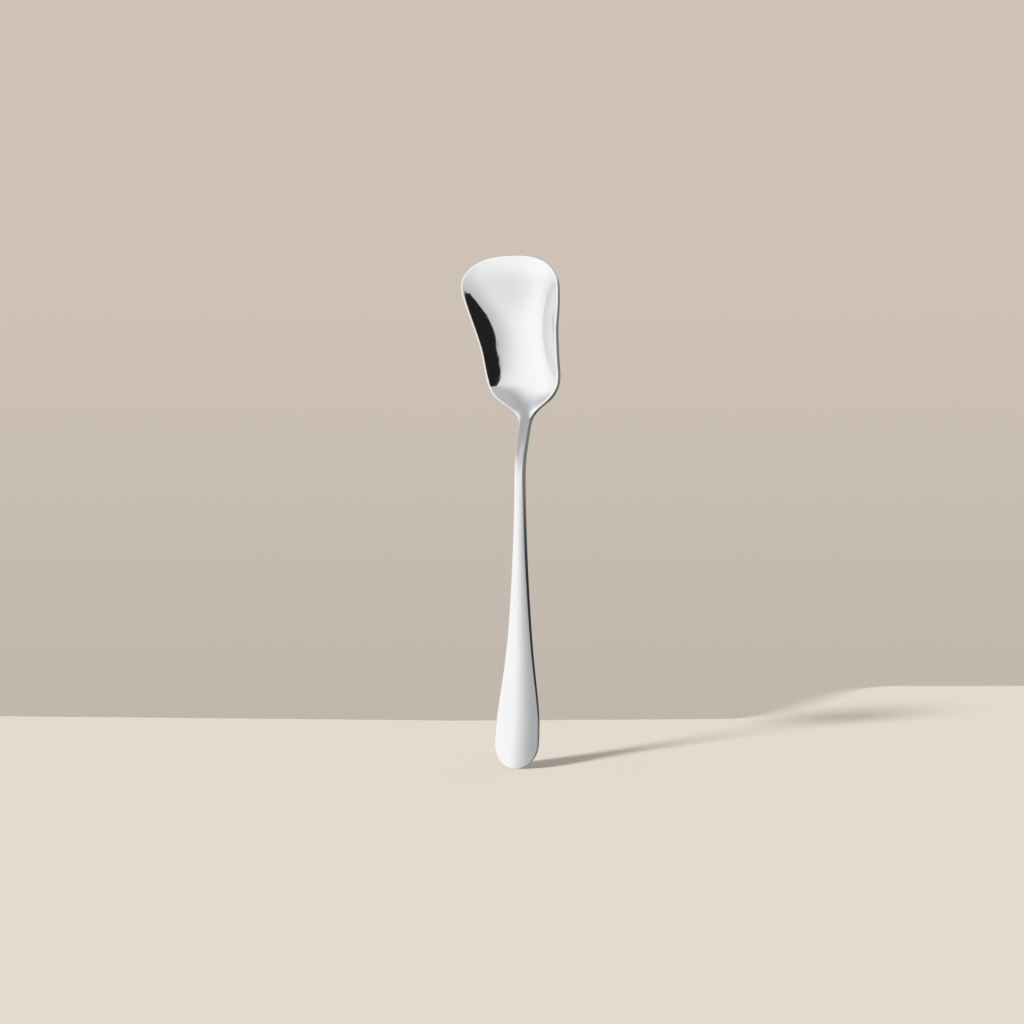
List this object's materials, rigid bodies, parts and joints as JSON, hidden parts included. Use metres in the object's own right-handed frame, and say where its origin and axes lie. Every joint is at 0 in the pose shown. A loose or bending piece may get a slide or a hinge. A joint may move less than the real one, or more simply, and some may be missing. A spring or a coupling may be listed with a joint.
{
  "type": "spoon",
  "caption": "Dessert spoon with a deep square-fronted bowl, a slender cranked neck and a flat handle that widens to a rounded end, for scooping and eating.",
  "frame": {"origin": "level with the end of the handle, under the middle of the spoon's box", "axes": "+Z along the spoon from the end of the handle to the lip of the bowl, -Y the way the hollow of the bowl faces, +X across the spoon, which is alike on both sides of X = 0"},
  "size_m": [0.0292, 0.0138, 0.14],
  "materials": {
    "polished_stainless": "mirror-polished bare stainless steel, with no plating and no grain"
  },
  "bodies": {
    "root": {"bowl": "polished_stainless", "neck": "polished_stainless", "handle": "polished_stainless"}
  },
  "joints": []
}
